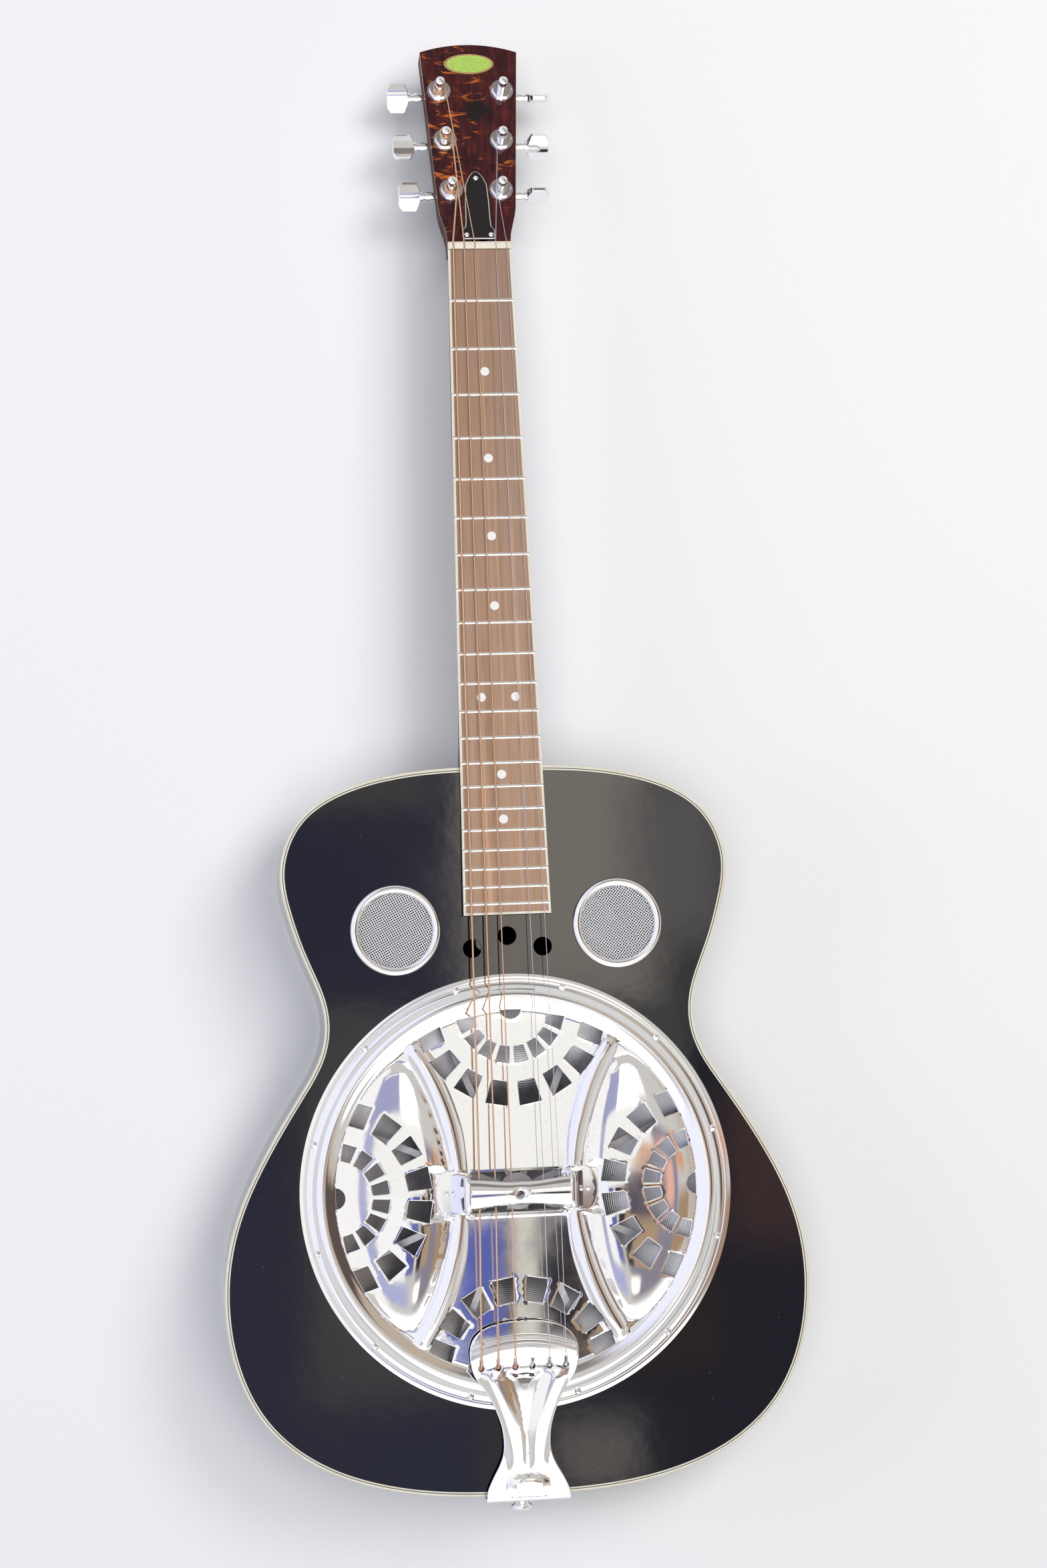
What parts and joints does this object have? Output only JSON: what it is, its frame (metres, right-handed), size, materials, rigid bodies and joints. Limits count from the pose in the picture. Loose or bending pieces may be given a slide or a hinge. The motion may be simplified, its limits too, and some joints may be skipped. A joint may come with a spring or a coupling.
{
  "type": "resonator guitar",
  "caption": "Acoustic resonator guitar with a black body, pressed chrome coverplate, screened sound holes, trapeze tailpiece and slot-free headstock with geared tuners.",
  "frame": {"origin": "on the back face of the body, directly under the resonator axis", "axes": "+Y up the neck to the headstock, +X to the treble side, +Z out of the top"},
  "size_m": [0.3868, 1.0023, 0.1141],
  "materials": {
    "black_lacquer": "high-gloss black lacquer over plywood",
    "ivory_binding": "polished cream plastic",
    "bare_maple": "unfinished",
    "bare_spruce": "unfinished",
    "spun_aluminium": "spun, satin",
    "cast_aluminium": "as cast",
    "chrome": "mirror",
    "wire_mesh": "woven",
    "mahogany": "dark brown gloss",
    "tortoise_veneer": "polished red-brown tortoiseshell pattern",
    "badge_enamel": "green enamel in a gilt rim",
    "rosewood": "open-grained, satin",
    "fret_wire": "polished nickel silver",
    "pearl_dot": "pearl",
    "bone": "polished",
    "steel": "plain",
    "brass": "plain",
    "black_plastic": "polished",
    "bronze_wound": "wound phosphor bronze",
    "plain_steel": "plain drawn wire"
  },
  "bodies": {
    "guitar": {"body_back": "black_lacquer", "body_binding": "ivory_binding", "body_sides": "black_lacquer", "body_top": "black_lacquer", "braces": "bare_spruce", "bridge_saddles": "bare_maple", "cover_screws": "chrome", "coverplate": "chrome", "fingerboard": "rosewood", "fingerboard_binding": "ivory_binding", "fingerboard_riser": "black_lacquer", "frets": "fret_wire", "headstock_badge": "badge_enamel", "headstock_screws": "chrome", "headstock_veneer": "tortoise_veneer", "linings": "bare_maple", "neck": "mahogany", "neck_block": "bare_maple", "neck_bolts": "steel", "nut": "bone", "palm_rest": "chrome", "position_markers": "pearl_dot", "resonator_cone": "spun_aluminium", "sound_hole_rings": "chrome", "sound_hole_screens": "wire_mesh", "soundwell": "bare_maple", "spider_bridge": "cast_aluminium", "strap_button": "chrome", "string_1_high_e": "plain_steel", "string_2_b": "plain_steel", "string_4_d": "bronze_wound", "string_5_a": "bronze_wound", "string_6_low_e": "bronze_wound", "tail_block": "bare_maple", "tailpiece": "chrome", "tailpiece_screws": "chrome", "truss_rod": "steel", "truss_rod_cover": "black_plastic", "tuner_bushings": "chrome", "tuner_housings": "chrome"},
    "knob_k1": {"tuner_k1_knob": "chrome"},
    "post_k1": {"tuner_k1_post": "chrome", "winding_6_low_e": "bronze_wound"},
    "knob_k2": {"tuner_k2_knob": "chrome"},
    "post_k2": {"tuner_k2_post": "chrome", "winding_5_a": "bronze_wound"},
    "knob_k3": {"tuner_k3_knob": "chrome"},
    "post_k3": {"tuner_k3_post": "chrome", "winding_4_d": "bronze_wound"},
    "knob_k4": {"tuner_k4_knob": "chrome"},
    "post_k4": {"tuner_k4_post": "chrome", "winding_1_high_e": "plain_steel"},
    "knob_k5": {"tuner_k5_knob": "chrome"},
    "post_k5": {"tuner_k5_post": "chrome", "winding_2_b": "plain_steel"},
    "knob_k6": {"tuner_k6_knob": "chrome"},
    "post_k6": {"tuner_k6_post": "chrome"},
    "truss_nut": {"truss_rod_nut": "brass"},
    "tension_screw": {"spider_screw": "steel"}
  },
  "joints": [
    {"name": "k1_knob_spin", "type": "hinge", "parent": "guitar", "child": "knob_k1", "pos_m": [-0.0172, 0.68017, 0.04711], "axis": [1, 0, 0], "continuous": true},
    {"name": "k1_post_spin", "type": "hinge", "parent": "guitar", "child": "post_k1", "pos_m": [-0.0172, 0.67894, 0.06694], "axis": [0, 0.1966, 0.9805], "continuous": true},
    {"name": "k2_knob_spin", "type": "hinge", "parent": "guitar", "child": "knob_k2", "pos_m": [-0.01949, 0.71733, 0.03966], "axis": [1, 0, 0], "continuous": true},
    {"name": "k2_post_spin", "type": "hinge", "parent": "guitar", "child": "post_k2", "pos_m": [-0.01949, 0.7161, 0.05949], "axis": [0, 0.1966, 0.9805], "continuous": true},
    {"name": "k3_knob_spin", "type": "hinge", "parent": "guitar", "child": "knob_k3", "pos_m": [-0.02179, 0.75449, 0.03221], "axis": [1, 0, 0], "continuous": true},
    {"name": "k3_post_spin", "type": "hinge", "parent": "guitar", "child": "post_k3", "pos_m": [-0.02179, 0.75326, 0.05203], "axis": [0, 0.1966, 0.9805], "continuous": true},
    {"name": "k4_knob_spin", "type": "hinge", "parent": "guitar", "child": "knob_k4", "pos_m": [0.0172, 0.68017, 0.04711], "axis": [1, 0, 0], "continuous": true},
    {"name": "k4_post_spin", "type": "hinge", "parent": "guitar", "child": "post_k4", "pos_m": [0.0172, 0.67894, 0.06694], "axis": [0, 0.1966, 0.9805], "continuous": true},
    {"name": "k5_knob_spin", "type": "hinge", "parent": "guitar", "child": "knob_k5", "pos_m": [0.01949, 0.71733, 0.03966], "axis": [1, 0, 0], "continuous": true},
    {"name": "k5_post_spin", "type": "hinge", "parent": "guitar", "child": "post_k5", "pos_m": [0.01949, 0.7161, 0.05949], "axis": [0, 0.1966, 0.9805], "continuous": true},
    {"name": "k6_knob_spin", "type": "hinge", "parent": "guitar", "child": "knob_k6", "pos_m": [0.02179, 0.75449, 0.03221], "axis": [1, 0, 0], "continuous": true},
    {"name": "k6_post_spin", "type": "hinge", "parent": "guitar", "child": "post_k6", "pos_m": [0.02179, 0.75326, 0.05203], "axis": [0, 0.1966, 0.9805], "continuous": true},
    {"name": "truss_nut_turn", "type": "hinge", "parent": "guitar", "child": "truss_nut", "pos_m": [0, 0.65068, 0.0678], "axis": [0, 0.9992, -0.041], "range_deg": [-180, 180]},
    {"name": "tension_screw_turn", "type": "hinge", "parent": "guitar", "child": "tension_screw", "pos_m": [0, 0, 0.089], "axis": [0, 0, 1], "range_deg": [-180, 180]}
  ],
  "couplings": [
    {"joint": "k1_post_spin", "follows": "k1_knob_spin", "ratio": 0.071429},
    {"joint": "k2_post_spin", "follows": "k2_knob_spin", "ratio": 0.071429},
    {"joint": "k3_post_spin", "follows": "k3_knob_spin", "ratio": 0.071429},
    {"joint": "k4_post_spin", "follows": "k4_knob_spin", "ratio": 0.071429},
    {"joint": "k5_post_spin", "follows": "k5_knob_spin", "ratio": 0.071429},
    {"joint": "k6_post_spin", "follows": "k6_knob_spin", "ratio": 0.071429}
  ]
}
